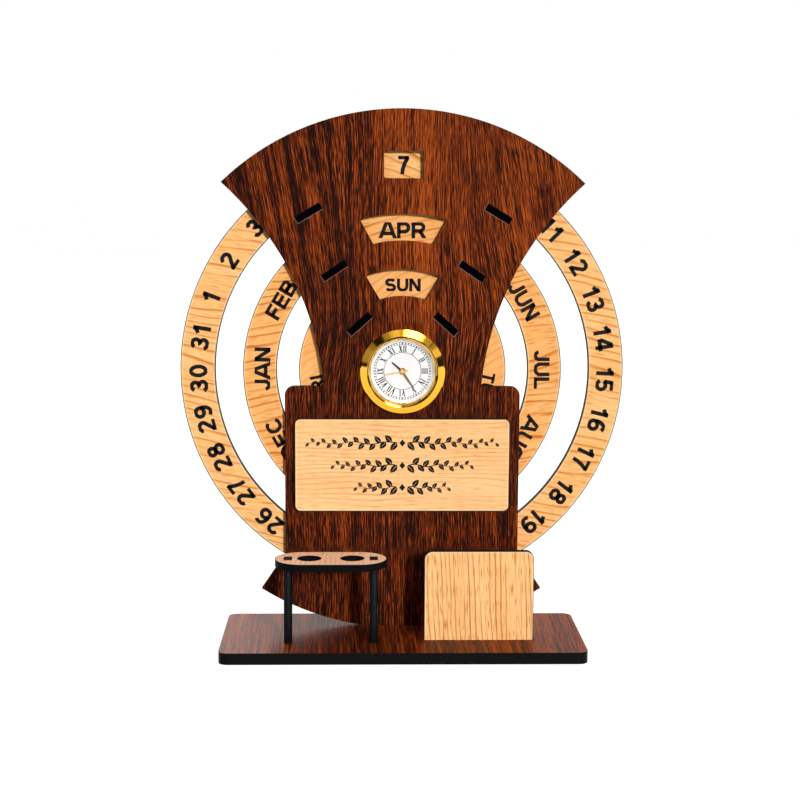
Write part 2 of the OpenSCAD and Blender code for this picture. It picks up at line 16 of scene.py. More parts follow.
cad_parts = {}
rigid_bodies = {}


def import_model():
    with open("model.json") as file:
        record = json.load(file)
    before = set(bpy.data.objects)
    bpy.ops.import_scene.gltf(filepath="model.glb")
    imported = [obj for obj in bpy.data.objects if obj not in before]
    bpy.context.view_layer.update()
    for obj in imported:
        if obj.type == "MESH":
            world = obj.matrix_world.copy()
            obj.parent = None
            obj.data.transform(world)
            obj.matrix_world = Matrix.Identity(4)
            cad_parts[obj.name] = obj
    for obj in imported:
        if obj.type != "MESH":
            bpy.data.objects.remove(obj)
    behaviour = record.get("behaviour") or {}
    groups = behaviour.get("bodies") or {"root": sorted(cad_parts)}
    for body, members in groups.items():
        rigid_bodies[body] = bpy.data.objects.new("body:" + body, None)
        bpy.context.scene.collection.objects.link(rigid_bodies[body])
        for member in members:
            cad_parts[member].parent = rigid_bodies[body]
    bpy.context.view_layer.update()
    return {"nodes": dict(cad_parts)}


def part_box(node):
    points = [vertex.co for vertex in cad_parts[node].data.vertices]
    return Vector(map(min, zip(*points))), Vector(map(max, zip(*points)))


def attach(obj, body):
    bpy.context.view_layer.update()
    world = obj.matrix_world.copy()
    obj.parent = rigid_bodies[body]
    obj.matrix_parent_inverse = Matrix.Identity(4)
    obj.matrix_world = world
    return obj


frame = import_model()
part = frame["nodes"]
MM = 0.001

# %% [markdown]
# Everything round on the clock shares one axis, so its centre is measured once, on the biggest ring.
# A ring's two radii are read from its own corners, and nothing is typed twice.

# %% Measures taken from the frame
low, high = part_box("date_ring")
CENTRE = (low + high) / 2


def radii(name):
    """The smallest and largest distance of a round piece's corners from the clock's axis, in metres."""
    reach = [math.hypot(v.co.x - CENTRE.x, v.co.z - CENTRE.z) for v in part[name].data.vertices]
    return min(reach), max(reach)


print("centre height", round(CENTRE.z / MM, 2), "date ring", [round(r / MM, 2) for r in radii("date_ring")])

# %% [markdown]
# The photograph was taken with a longish lens from a little above the clock and a little to its left.
# The camera is placed by its three directions, so the slight roll of the picture is kept too.

# %% Camera
look_down, look_right, roll = (math.radians(a) for a in (7.827, 1.457, 0.298))
STANDS_AT = (-0.01831, -0.66669, 0.19965)
ahead = Vector((math.sin(look_right) * math.cos(look_down),
                math.cos(look_right) * math.cos(look_down), -math.sin(look_down)))
level = Vector((math.cos(look_right), -math.sin(look_right), 0))
upright = level.cross(ahead)
side = level * math.cos(roll) + upright * math.sin(roll)
top = upright * math.cos(roll) - level * math.sin(roll)

photo_camera = bpy.data.cameras.new("photo_camera")
photo_camera.sensor_width, photo_camera.lens = 36, 70.43
photo_camera.clip_start, photo_camera.clip_end = 0.05, 20
tripod = bpy.data.objects.new("photo_camera", photo_camera)
directions = [(side[i], top[i], -ahead[i], STANDS_AT[i]) for i in range(3)]
tripod.matrix_world = Matrix((*directions, (0, 0, 0, 1)))
bpy.context.scene.collection.objects.link(tripod)
bpy.context.scene.camera = tripod
print("camera", [round(c, 3) for c in tripod.location])

# %% [markdown]
# A node tree is a sum written with boxes and wires.
# This small class lets such a sum be written as a sum: adding two wires adds a Math node.
# It works the same in a material and in Geometry Nodes.

# %% Wires


class Wire:
    """A number that travels through a node tree."""

    def __init__(self, tree, socket):
        self.tree, self.socket = tree, socket

    def math(self, operation, *others, clamp=False):
        node = self.tree.nodes.new("ShaderNodeMath")
        node.operation, node.use_clamp = operation, clamp
        for slot, value in enumerate((self, *others)):
            if isinstance(value, Wire):
                self.tree.links.new(value.socket, node.inputs[slot])
            else:
                node.inputs[slot].default_value = value
        return Wire(self.tree, node.outputs[0])

    def __add__(self, other):
        return self.math("ADD", other)

    def __sub__(self, other):
        return self.math("SUBTRACT", other)

    def __mul__(self, other):
        return self.math("MULTIPLY", other)

    def __abs__(self):
        return self.math("ABSOLUTE")

    def flip(self):
        """1 where it was 0, and 0 where it was 1."""
        return self * -1 + 1

    def step(self, low, high):
        """0 below low and 1 above high, with a soft rise between them."""
        made = new_node(self.tree, "ShaderNodeMapRange", Value=self, From_Min=low, From_Max=high)
        made.interpolation_type = "SMOOTHSTEP"
        return Wire(self.tree, made.outputs["Result"])


def feed(tree, value, socket):
    """Gives a socket a wire, another socket or a plain value."""
    if isinstance(value, Wire):
        value = value.socket
    if isinstance(value, bpy.types.NodeSocket):
        tree.links.new(value, socket)
    else:
        socket.default_value = value


def new_node(tree, kind, **inputs):
    """A new node, with something fed to each input that is named here."""
    made = tree.nodes.new(kind)
    for label, value in inputs.items():
        feed(tree, value, made.inputs[label.replace("_", " ")])
    return made


def vector(tree, x=0.0, y=0.0, z=0.0):
    """Three wires or numbers joined to one vector."""
    node = tree.nodes.new("ShaderNodeCombineXYZ")
    for socket, value in zip(node.inputs, (x, y, z)):
        feed(tree, value, socket)
    return node.outputs[0]


def cloud(tree, x, y, z=0.0, detail=2.0, rough=0.5):
    """Smooth noise from 0 to 1 at a place given by three wires or numbers."""
    noise = new_node(tree, "ShaderNodeTexNoise", Scale=1, Detail=detail, Roughness=rough,
                     Vector=vector(tree, x, y, z))
    return Wire(tree, noise.outputs["Fac"])


def blend(tree, amount, first, second):
    """The colour first where amount is 0, and second where it is 1."""
    node = tree.nodes.new("ShaderNodeMix")
    node.data_type = "RGBA"
    for slot, value in ((0, amount), (6, first), (7, second)):
        feed(tree, value, node.inputs[slot])
    return Wire(tree, node.outputs[2])


def ladder(tree, amount, *rungs):
    """A colour ramp: each rung is a place from 0 to 1 and a colour."""
    node = tree.nodes.new("ShaderNodeValToRGB")
    feed(tree, amount, node.inputs[0])
    steps = node.color_ramp.elements
    while len(steps) < len(rungs):
        steps.new(0.5)
    for step, (place, colour) in zip(steps, rungs):
        step.position, step.color = place, colour
    return Wire(tree, node.outputs[0])


def rgb(red, green, blue):
    """A colour as a screen shows it, 0 to 255, turned into the light that Blender counts in."""
    def light(c):
        c /= 255
        return c / 12.92 if c < 0.04045 else ((c + 0.055) / 1.055) ** 2.4
    return light(red), light(green), light(blue), 1.0


WHITE = (1, 1, 1, 1)


# %% [markdown]
# Every finish starts the same way: a Principled shader, the place on the piece in millimetres, and the
# direction that the surface faces. Object coordinates are used, so a pattern stays on its piece when it turns.

# %% How each finish starts


class Finish:
    """A material with its tree, its shader, the place in mm (x, y, z) and the facing (x, y, z)."""

    def __init__(self, name, **settings):
        self.material = bpy.data.materials.new(name)
        self.material.use_nodes = True
        self.tree = self.material.node_tree
        self.shader = self.tree.nodes["Principled BSDF"]
        for label, value in settings.items():
            self.shader.inputs[label.replace("_", " ")].default_value = value
        coordinates = self.tree.nodes.new("ShaderNodeTexCoord")
        scaled = self.tree.nodes.new("ShaderNodeVectorMath")
        scaled.operation = "SCALE"
        scaled.inputs["Scale"].default_value = 1 / MM
        self.tree.links.new(coordinates.outputs["Object"], scaled.inputs[0])
        self.place = self.split(scaled.outputs[0])
        self.facing = self.split(coordinates.outputs["Normal"])

    def split(self, socket):
        node = self.tree.nodes.new("ShaderNodeSeparateXYZ")
        self.tree.links.new(socket, node.inputs[0])
        return [Wire(self.tree, out) for out in node.outputs]

    def cloud(self, *place, **options):
        return cloud(self.tree, *place, **options)

    def set(self, label, value):
        feed(self.tree, value, self.shader.inputs[label])

    def bump(self, height, depth):
        """Raises the surface by height (0 to 1) times depth in mm."""
        made = new_node(self.tree, "ShaderNodeBump", Distance=depth * MM, Height=height)
        self.tree.links.new(made.outputs[0], self.shader.inputs["Normal"])


def dress(finish, *names):
    """Gives CAD pieces their finish."""
    for name in names:
        slots = part[name].data.materials
        slots.clear()
        slots.append(finish.material)


print("helpers ready")

# %% [markdown]
# The dark boards are walnut laminate on a 3 mm or 5 mm core, cut by a laser.
# The face shows a printed and pressed grain: near-black streaks against red-brown ones, and short pores.
# The cut edge is burnt black. One material does both: it looks at the direction the surface faces.
# A photograph of walnut could be wrapped on, but stretched noise gives sharp grain at any size.

# %% Walnut laminate
SOOT, BURNT = rgb(7, 7, 8), rgb(17, 17, 19)
GRAIN = ((0.20, (30, 13, 10)), (0.36, (60, 24, 12)), (0.50, (98, 39, 12)),
         (0.64, (132, 53, 15)), (0.84, (166, 78, 28)))


def burnt_edge(finish, face_colour, face):
    """The face colour on the two faces, and scorched black with fine soot marks on the cut edges."""
    x, y, z = finish.place
    soot = finish.cloud(x * 0.9, y * 0.9, z * 0.9, detail=4.0)
    black = blend(finish.tree, soot, SOOT, BURNT)
    return blend(finish.tree, abs(finish.facing[face]).step(0.55, 0.75), black, face_colour)


def walnut(name, across, along, face, seed, light=1.0, lean=0.0, pivot=0.0, drift=0.0, rise=0.0,
           streak=0.0, ends=0.0, middle=0.0, fine=1.0, long=1.0, gloss=0.02, rough=0.4):
    """Walnut laminate. across, along and face say which of x, y, z crosses the grain, follows it, faces out.

    Far from the middle the grain leans: lean is its slope there, about the height pivot. The part near that
    height gets lighter by drift with each mm across and has broad streaks at its left; rise darkens what is
    below it. middle lightens the middle of the upper part. ends lightens the far left and right: this is
    painted light, which leaves the middle darker as painted shade from the board.
    fine and long say how close and how short the fibres are.
    """
    finish = Finish(name, IOR=1.45, Specular_IOR_Level=gloss)
    u, v = finish.place[across], finish.place[along]
    upper = v.step(pivot - 70, pivot)
    left = (u * -1).step(-6, 30) * upper
    shade = u * upper * drift + (upper - 1) * rise - 0.04
    # ends: painted light at the far left and right, leaving painted shade in the middle
    shade = shade + abs(u).step(24, 66) * ends + abs(u).step(8, 26).flip() * upper * middle
    if lean:
        u = u + (v - pivot) * abs(u).step(8, 46) * v.step(pivot - 70, pivot - 25) * lean
    u = (u + (finish.cloud(u * 0.016, v * 0.010, seed, detail=1.0) - 0.5) * 7) * fine
    v = v * long
    # each layer of noise: its weight, how often it changes across and along, its own seed, detail, roughness
    parts = [(weight, finish.cloud(u * across_mm, v * along_mm, seed + shift, detail=detail, rough=uneven))
             for weight, across_mm, along_mm, shift, detail, uneven in (
                 (0.55, 0.15, 0.009, 3, 1.0, 0.5), (0.50, 0.65, 0.016, 7, 2.0, 0.6),
                 (1.50, 2.5, 0.05, 11, 1.0, 0.5), (1.55, 4.4, 0.20, 13, 1.0, 0.5))]
    broad = finish.cloud(u * 0.24, v * 0.006, seed + 17, detail=1.0).step(0.49, 0.57)
    tone = shade - broad * left * streak + (0.5 - 0.5 * sum(weight for weight, _ in parts))
    for weight, noise in parts:
        tone = tone + noise * weight
    colours = ((at, rgb(*(c * light for c in colour))) for at, colour in GRAIN)
    fibre = parts[-1][1]
    finish.set("Base Color", burnt_edge(finish, ladder(finish.tree, tone, *colours), face))
    finish.set("Roughness", fibre * 0.2 + (rough - 0.1))
    finish.bump(fibre, 0.03)
    return finish


front = walnut("walnut_front", 0, 2, 1, 4.0, lean=0.2, pivot=180, drift=0.0006, rise=0.125, streak=0.24,
               middle=0.13)
# the base is darker overall and lighter at its ends: painted shade from the board over its middle, and painted
# light at the ends
base = walnut("walnut_base", 0, 1, 2, 33.0, 0.88, ends=0.24, fine=0.6, long=0.3, gloss=0.055, rough=0.38)
base.shader.inputs["Specular Tint"].default_value = (1.0, 0.7, 0.6, 1.0)
dress(front, "front_panel")
dress(walnut("walnut_back", 0, 2, 1, 21.0, 0.95), "back_panel", "top_spacer", "foot_spacer")
dress(base, "base_plate")
print("walnut on front_panel, back_panel, spacers and base_plate")

# %% [markdown]
# The rings, the name plate, the lip and the rack's top are a pale laminate with fine brown grain lines.
# The laser leaves a thin scorched line round each outline, and just inside it a pale line is painted as a
# highlight. The distance to the outline is worked out from the piece's own shape: a ring is a band between
# two radii, and a plate is a rounded rectangle.

# %% Distance to an outline


def from_axis(finish):
    """How far a place lies from the clock's axis, in mm."""
    x, _, z = finish.place
    return ((x - CENTRE.x / MM).math("POWER", 2) + (z - CENTRE.z / MM).math("POWER", 2)).math("SQRT")


def to_ring_edge(name):
    """How far inside a ring's nearer edge a place lies, in mm."""
    bore, rim = (r / MM for r in radii(name))

    def distance(finish):
        reach = from_axis(finish)
        return (reach - bore).math("MINIMUM", (reach * -1) + rim)
    return distance


def to_plate_edge(name, corner, first=0, second=2):
    """How far inside a rounded rectangle's outline a place lies, in mm."""
    low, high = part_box(name)
    middle, half = (low + high) / 2 / MM, (high - low) / 2 / MM

    def distance(finish):
        over = [abs(finish.place[i] - middle[i]) - (half[i] - corner) for i in (first, second)]
        outside = [o.math("MAXIMUM", 0) for o in over]
        round_part = (outside[0] * outside[0] + outside[1] * outside[1]).math("SQRT")
        flat_part = over[0].math("MAXIMUM", over[1]).math("MINIMUM", 0)
        return (round_part + flat_part) * -1 + corner
    return distance


# %% [markdown]
# In the pale wood each year's growth darkens slowly and ends in a thin brown line.
# A saw-tooth gives that: the place across the grain, bent a little by noise, runs from 0 to 1 for each year.
# The lines fade in and out along their length, as a real board's do.

# %% Pale laminate


SAND = ((253, 198, 134), (246, 180, 108), (206, 122, 50))


def pale_wood(name, edge_of, across=2, along=0, face=1, tilt=0.0, seed=0.0, year=3.4, strength=0.5,
              swirl=2.2, hairs=0.5, colours=SAND, rim=0.24):
    """Pale laminate. tilt turns the grain in degrees, and year is the space between its lines in mm.

    strength and hairs say how brown its lines and its short dashes are, swirl how far the lines bend, and
    rim how wide the scorched line along the outline is, in mm. The painted highlight lies just inside it.
    """
    finish = Finish(name, IOR=1.45, Specular_IOR_Level=0.02)
    tree = finish.tree
    cos, sin = math.cos(math.radians(tilt)), math.sin(math.radians(tilt))
    u = finish.place[across] * cos - finish.place[along] * sin
    v = finish.place[along] * cos + finish.place[across] * sin
    bend = finish.cloud(u * 0.05, v * 0.016, seed, detail=1.0) * (swirl * 2)
    growth = (u * (1 / year) + bend).math("FRACT")
    late = growth.step(0.60, 0.93) * growth.step(0.94, 1.0).flip()
    fade = finish.cloud(u * 0.16, v * 0.022, seed + 5, detail=2.0).step(0.30, 0.60)
    soft = finish.cloud(u * 0.10, v * 0.010, seed + 9, detail=2.0)
    hair = finish.cloud(u * 1.9, v * 0.05, seed + 12, detail=2.0, rough=0.6)
    light, warm, brown = (rgb(*c) for c in colours)
    face_colour = blend(tree, (soft * 0.7 + hair * 0.6 - 0.15).step(0.2, 0.8), light, warm)
    face_colour = blend(tree, late * fade * strength, face_colour, brown)
    dashes = finish.cloud(u * 2.6, v * 0.14, seed + 15, detail=1.0).step(0.52, 0.74)
    face_colour = blend(tree, dashes * hairs, face_colour, brown)
    inside = edge_of(finish)
    # painted highlight: a pale line just inside the scorched outline
    painted_rim_highlight = inside.step(rim, rim + 0.8).flip()
    face_colour = blend(tree, painted_rim_highlight * 0.6, face_colour, rgb(255, 230, 184))
    scorch = (inside + (soft - 0.5) * 0.10).step(rim * 0.6, rim * 1.6).flip()
    face_colour = blend(tree, scorch * 0.95, face_colour, rgb(34, 24, 14))
    finish.set("Base Color", burnt_edge(finish, face_colour, face))
    finish.set("Roughness", hair * 0.15 + 0.38)
    finish.bump(hair * 0.5 - dashes, 0.02)
    return finish


ORANGE = ((252, 187, 118), (246, 170, 94), (198, 112, 42))
for ring, tilt, seed, year, strength, hairs, colours in (
        ("date_ring", -11, 2, 3.6, 1.0, 0.7, SAND),
        ("month_ring", 11, 14, 3.8, 1.0, 0.8, ORANGE),
        ("weekday_ring", 32, 27, 3.4, 0.45, 0.5, ORANGE)):
    dress(pale_wood("pale_" + ring, to_ring_edge(ring), tilt=tilt, seed=seed, year=year, strength=strength,
                    hairs=hairs, colours=colours, rim=0.36), ring)
dress(pale_wood("pale_name_plate", to_plate_edge("name_plate", 2.5), seed=41, year=2.1, strength=0.6,
                hairs=0.6, colours=((254, 204, 146), (248, 188, 126), (212, 134, 72))), "name_plate")
dress(pale_wood("pale_lip", to_plate_edge("lip_plate", 3.5), across=0, along=2, tilt=-3, seed=56, year=2.1,
                strength=1.0, swirl=1.2, hairs=0.95,
                colours=((254, 202, 140), (247, 186, 120), (188, 112, 50))), "lip_plate")
dress(pale_wood("pale_rack", to_plate_edge("rack_top", 11.74, 0, 1), across=0, along=1, face=2, seed=70,
                year=2.2, strength=0.5, colours=((255, 214, 180), (252, 200, 164), (212, 138, 96))), "rack_top")
print("pale laminate on rings, name plate, lip and rack")

# %% [markdown]
# The legs of the rack and the guides of the rings are cut from black acrylic sheet, which is smooth and
# catches a soft highlight. On the legs a blue highlight is also painted down the middle of the edge.
# A little noise in the roughness keeps it from looking like a drawing.

# %% Black acrylic


def smooth_plastic(name, colour, rough=0.3, grain=0.08, size=0.5, gloss=0.06):
    """Plastic, rubber or ink. grain is how uneven its gloss is, and a bigger size makes the patches finer."""
    finish = Finish(name, IOR=1.49, Specular_IOR_Level=gloss)
    x, y, z = finish.place
    mist = finish.cloud(x * size, y * size, z * size, detail=3.0)
    finish.set("Base Color", blend(finish.tree, mist, rgb(*(c * 0.86 for c in colour)), rgb(*colour)))
    finish.set("Roughness", mist * grain * 2 + (rough - grain))
    finish.bump(mist, 0.01)
    return finish


def leg_black(name):
    """Black acrylic with a painted faint blue highlight down the middle of its narrow polished edge."""
    finish = smooth_plastic("black_" + name, (9, 12, 14), 0.4, gloss=0.06)
    x, y, z = finish.place
    middle = sum(corner.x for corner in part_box(name)) / 2 / MM + 0.35
    # the painted highlight is patchy and fades out towards the foot of the leg
    painted_highlight = abs(x - middle).step(0.0, 0.9).flip()
    patchy = finish.cloud(x * 0.5, y * 0.5, z * 0.12, detail=3.0) * z.step(6, 24)
    finish.set("Base Color", blend(finish.tree, painted_highlight * patchy, rgb(6, 8, 10), rgb(36, 52, 58)))
    return finish


for leg in ("rack_leg_left", "rack_leg_right"):
    dress(leg_black(leg), leg)
dress(smooth_plastic("black_guide", (5, 5, 7), 0.5, gloss=0.0), "date_guides", "month_guides",
      "weekday_guides")
print("black acrylic on legs and guides")

# %% [markdown]
# The clock is a ready-made insert: a polished gold rim, a clear lens, a white printed dial and gold hands.
# Its case, rubber band and movement sit inside, and show when it is pulled out or seen from behind.

# %% Metals and plastics of the clock


def metal(name, colour, rough=0.2, brushed=0.08, along=1):
    """Metal with fine brush marks that run along x, y or z (0, 1 or 2)."""
    finish = Finish(name, Metallic=1.0)
    scale = [9.0, 9.0, 9.0]
    scale[along] = 0.3
    marks = finish.cloud(*(p * s for p, s in zip(finish.place, scale)), detail=2.0)
    finish.set("Base Color", blend(finish.tree, marks, rgb(*(c * 0.93 for c in colour)), rgb(*colour)))
    finish.set("Roughness", marks * brushed * 2 + (rough - brushed))
    return finish


gold = metal("polished_gold", (253, 192, 62), 0.07, 0.02)
lens_rim = radii("clock_lens")[1] / MM
# a dark, non-metallic band between the lens and the polished rim: partly a dark seal, partly painted shade and
# dark reflection in the groove
painted_shade_outer = from_axis(gold).step(lens_rim + 0.1, lens_rim + 0.2).flip()
lip = from_axis(gold).step(lens_rim - 0.35, lens_rim - 0.25).flip()
gold.set("Base Color", blend(gold.tree, painted_shade_outer - lip, rgb(252, 188, 60), rgb(22, 14, 8)))
gold.set("Metallic", (painted_shade_outer - lip) * -0.9 + 1)
dress(gold, "clock_bezel")
flange = smooth_plastic("dial_flange", (255, 254, 250), 0.25, 0.03, 2.0, 0.4)
gilt = from_axis(flange).step(lens_rim - 1.5, lens_rim - 1.3)
flange.set("Base Color", blend(flange.tree, gilt, rgb(255, 254, 250), rgb(240, 190, 96)))
flange.set("Metallic", gilt)
dress(flange, "dial_ring")
for name, colour, rough, brushed, along, pieces in (
        ("bronze_hand", (72, 26, 22), 0.35, 0.05, 1, "hour_hand"),
        ("dark_gold_hand", (134, 78, 26), 0.35, 0.05, 1, "minute_hand"),
        ("pale_gold_hand", (226, 176, 84), 0.30, 0.05, 1, "second_hand"),
        ("gear_brass", (222, 188, 110), 0.28, 0.06, 0, "hour_wheel cannon_pinion minute_wheel seconds_wheel"),
        ("coil_copper", (204, 112, 62), 0.32, 0.06, 0, "drive_coil"),
        ("cell_steel", (196, 198, 202), 0.30, 0.08, 0, "battery battery_clip movement_plate")):
    dress(metal(name, colour, rough, brushed, along), *pieces.split())
for name, colour, rough, grain, size, gloss, pieces in (
        ("case_black", (22, 22, 24), 0.42, 0.06, 1.2, 0.06, "clock_case rear_cover setting_knob"),
        ("band_rubber", (20, 20, 20), 0.65, 0.05, 2.0, 0.06, "fit_band"),
        ("movement_cream", (214, 210, 198), 0.45, 0.05, 1.0, 0.06, "movement_body"),
        ("dial_white", (255, 255, 255), 0.38, 0.02, 2.0, 0.0, "clock_dial")):
    dress(smooth_plastic(name, colour, rough, grain, size, gloss), *pieces.split())
print("clock finishes set")

# %% [markdown]
# A real lens is glass, but glass in a path tracer throws a dark shadow on what lies just behind it.
# Mixing a clear shader with a little gloss at glancing angles keeps the dial bright and the reflections real.

# %% Clear lens
lens_finish = Finish("clear_lens", Roughness=0.03, IOR=1.5, Metallic=1.0, Base_Color=WHITE)
tree = lens_finish.tree
x, y, z = lens_finish.place
lens_finish.set("Roughness", lens_finish.cloud(x * 0.4, y * 0.4, z * 0.4, detail=2.0) * 0.03 + 0.02)
clear, share, bend_of_light, surface = (
    tree.nodes.new("ShaderNode" + kind) for kind in ("BsdfTransparent", "MixShader", "Fresnel", "NewGeometry"))
bend_of_light.inputs["IOR"].default_value = 1.22
# seen from inside the lens, the same formula turns to a full mirror past 55 degrees, so back faces stay clear
front_side = Wire(tree, surface.outputs["Backfacing"]).flip()
feed(tree, front_side * Wire(tree, bend_of_light.outputs[0]), share.inputs[0])
tree.links.new(clear.outputs[0], share.inputs[1])
tree.links.new(lens_finish.shader.outputs[0], share.inputs[2])
tree.links.new(share.outputs[0], tree.nodes["Material Output"].inputs["Surface"])
dress(lens_finish, "clock_lens")
print("lens is clear")

# %% [markdown]
# The calendar's letters and numbers are plain bold capitals, drawn here as a sign cutter draws them:
# each stroke is a path that a broad pen follows, and the ends are trimmed at the foot line and the head line.
# A letter is one unit high. A bow is part of an ellipse, given by its centre, its two radii and two angles.

# %% Letter strokes


def bow(x, y, wide, tall, start, end, steps=14):
    """Points along part of an ellipse, from one angle to another, in degrees."""
    turns = [math.radians(start + (end - start) * i / steps) for i in range(steps + 1)]
    return [(x + wide * math.cos(t), y + tall * math.sin(t)) for t in turns]


def post(x):
    """An upright stroke, longer than the letter, because its ends are trimmed."""
    return [(x, -0.1), (x, 1.1)]


def bar(left, right, height):
    """A level stroke."""
    return [(left, height), (right, height)]


HEAD, FOOT = 0.915, 0.085  # the heights of the level strokes at a letter's head and foot
LETTERS = {
    "0": (0.68, [bow(0.34, 0.5, 0.25, 0.41, 0, 360, 24)]),
    "1": (0.52, [post(0.36), [(0.06, 0.69), (0.22, 0.77), (0.34, 0.92)]]),
    "2": (0.67, [bow(0.33, 0.70, 0.24, 0.215, 172, -28) + [(0.10, 0.10)], bar(0.02, 0.66, FOOT)]),
    "3": (0.66, [bow(0.32, 0.71, 0.215, 0.205, 165, -80, 12) + bow(0.32, 0.295, 0.245, 0.21, 80, -168)]),
    "4": (0.72, [[(0.50, 1.06), (0.06, 0.32)], bar(0.02, 0.70, 0.275), post(0.50)]),
    "5": (0.67, [bar(0.15, 0.62, HEAD), [(0.19, 0.99), (0.11, 0.47)], bow(0.32, 0.325, 0.25, 0.24, 148, -162)]),
    "6": (0.68, [bow(0.35, 0.315, 0.245, 0.23, 0, 360, 20), bow(0.40, 0.49, 0.30, 0.425, 196, 52)]),
    "7": (0.65, [bar(0.03, 0.63, HEAD), [(0.56, 0.92), (0.40, 0.62), (0.29, 0.28), (0.25, -0.1)]]),
    "8": (0.68, [bow(0.34, 0.725, 0.205, 0.19, 0, 360, 20), bow(0.34, 0.295, 0.245, 0.21, 0, 360, 20)]),
    "9": (0.68, [bow(0.33, 0.685, 0.245, 0.23, 0, 360, 20), bow(0.28, 0.51, 0.30, 0.425, 16, -128)]),
    "A": (0.98, [[(-0.01, -0.1), (0.455, 1.1)], [(0.99, -0.1), (0.525, 1.1)], bar(0.2, 0.78, 0.30)]),
    "B": (0.84, [post(0.1),
                 [(0.1, HEAD), (0.42, HEAD)] + bow(0.45, 0.71, 0.235, 0.205, 90, -90) + [(0.1, 0.505)],
                 [(0.1, 0.50)] + bow(0.47, 0.29, 0.27, 0.205, 90, -90) + [(0.1, FOOT)]]),
    "C": (0.92, [bow(0.47, 0.5, 0.375, 0.415, 38, 322, 20)]),
    "D": (0.87, [post(0.1), [(0.1, HEAD)] + bow(0.36, 0.5, 0.41, 0.415, 90, -90, 18) + [(0.1, FOOT)]]),
    "E": (0.78, [post(0.1), bar(0.1, 0.76, HEAD), bar(0.1, 0.71, 0.52), bar(0.1, 0.78, FOOT)]),
    "F": (0.72, [post(0.1), bar(0.1, 0.72, HEAD), bar(0.1, 0.63, 0.49)]),
    "G": (0.97, [bow(0.48, 0.5, 0.38, 0.415, 40, 318, 20), bar(0.5, 0.955, 0.46),
                 [(0.865, 0.50), (0.865, 0.14)]]),
    "H": (0.85, [post(0.1), post(0.75), bar(0.1, 0.75, 0.52)]),
    "I": (0.20, [post(0.1)]),
    "J": (0.66, [[(0.56, 1.1)] + bow(0.325, 0.33, 0.235, 0.245, 0, -172)]),
    "L": (0.71, [post(0.1), bar(0.1, 0.71, FOOT)]),
    "M": (1.00, [post(0.095), post(0.905), [(0.12, 1.1), (0.50, -0.02)], [(0.88, 1.1), (0.50, -0.02)]]),
    "N": (0.86, [post(0.1), post(0.76), [(0.06, 1.06), (0.80, -0.06)]]),
    "O": (0.98, [bow(0.49, 0.5, 0.39, 0.415, 0, 360, 28)]),
    "P": (0.81, [post(0.1), [(0.1, HEAD)] + bow(0.44, 0.665, 0.27, 0.25, 90, -90) + [(0.1, 0.415)]]),
    "R": (0.92, [post(0.1), [(0.1, HEAD)] + bow(0.49, 0.69, 0.25, 0.225, 90, -90) + [(0.1, 0.465)],
                 [(0.46, 0.48), (0.62, 0.30), (0.86, -0.1)]]),
    "S": (0.83, [bow(0.405, 0.705, 0.295, 0.21, 22, 245) + bow(0.425, 0.295, 0.305, 0.21, 65, -160)]),
    "T": (0.80, [post(0.40), bar(0.0, 0.80, HEAD)]),
    "U": (0.86, [[(0.1, 1.1)] + bow(0.43, 0.40, 0.33, 0.315, 180, 360) + [(0.76, 1.1)]]),
    "V": (0.92, [[(0.06, 1.1), (0.46, -0.02), (0.86, 1.1)]]),
    "W": (1.30, [[(0.06, 1.1), (0.34, -0.02), (0.65, 1.0), (0.96, -0.02), (1.24, 1.1)]]),
    "Y": (0.90, [[(0.06, 1.1), (0.45, 0.44), (0.84, 1.1)], [(0.45, 0.5), (0.45, -0.1)]]),
}
print("letters:", "".join(sorted(LETTERS)))

# %% [markdown]
# A stroke becomes a thin ribbon. At a bend its two sides meet on the line that halves the corner,
# so the ribbon keeps its width, and a closed bow joins up with itself.

# %% From strokes to thin solid letters


def finished(shape, name):
    """Ends the work on a shape and returns it as a mesh."""
    data = bpy.data.meshes.new(name)
    shape.to_mesh(data)
    shape.free()
    return data


def ribbon(mesh, path, pen, depth):
    """Adds a flat ribbon of width pen along path (x, y points), with its front at depth above the back."""
    closed = (Vector(path[0]) - Vector(path[-1])).length < 1e-6
    points = [Vector(p) for p in (path[:-1] if closed else path)]
    count = len(points)
    left, right = [], []
    for i, point in enumerate(points):
        before = points[i - 1] if i or closed else None
        after = points[(i + 1) % count] if i < count - 1 or closed else None
        headings = [(b - a).normalized() for a, b in ((before, point), (point, after))
                    if a is not None and b is not None]
        sides = [Vector((-h.y, h.x)) for h in headings]
        mid = sum(sides, Vector((0, 0))).normalized()
        mid *= pen / 2 / max(mid.dot(sides[0]), 0.35)
        left.append(mesh.verts.new((*(point + mid), depth)))
        right.append(mesh.verts.new((*(point - mid), depth)))
    for i in range(count if closed else count - 1):
        j = (i + 1) % count
        mesh.faces.new((right[i], right[j], left[j], left[i]))


def letter_mesh(name, strokes, pen, depth):
    """One letter, trimmed at the foot line and the head line, with its sides closed down to the back."""
    shape = bmesh.new()
    for stroke in strokes:
        share, path = stroke if isinstance(stroke, tuple) else (1.0, stroke)
        ribbon(shape, path, pen * share, depth)
    for height, outward in ((0.0, -1), (1.0, 1)):
        bmesh.ops.bisect_plane(shape, geom=shape.verts[:] + shape.edges[:] + shape.faces[:], dist=1e-6,
                               plane_co=(0, height, 0), plane_no=(0, outward, 0), clear_outer=True)
    flats = shape.faces[:]
    walls = bmesh.ops.extrude_face_region(shape, geom=flats, use_keep_orig=True)["geom"]
    for vert in [v for v in walls if isinstance(v, bmesh.types.BMVert)]:
        vert.co.z = 0
    bmesh.ops.recalc_face_normals(shape, faces=shape.faces)
    return finished(shape, name)


print("test letter A:", len(letter_mesh("test_A", LETTERS["A"][1], 0.2, 0.01).polygons), "faces")

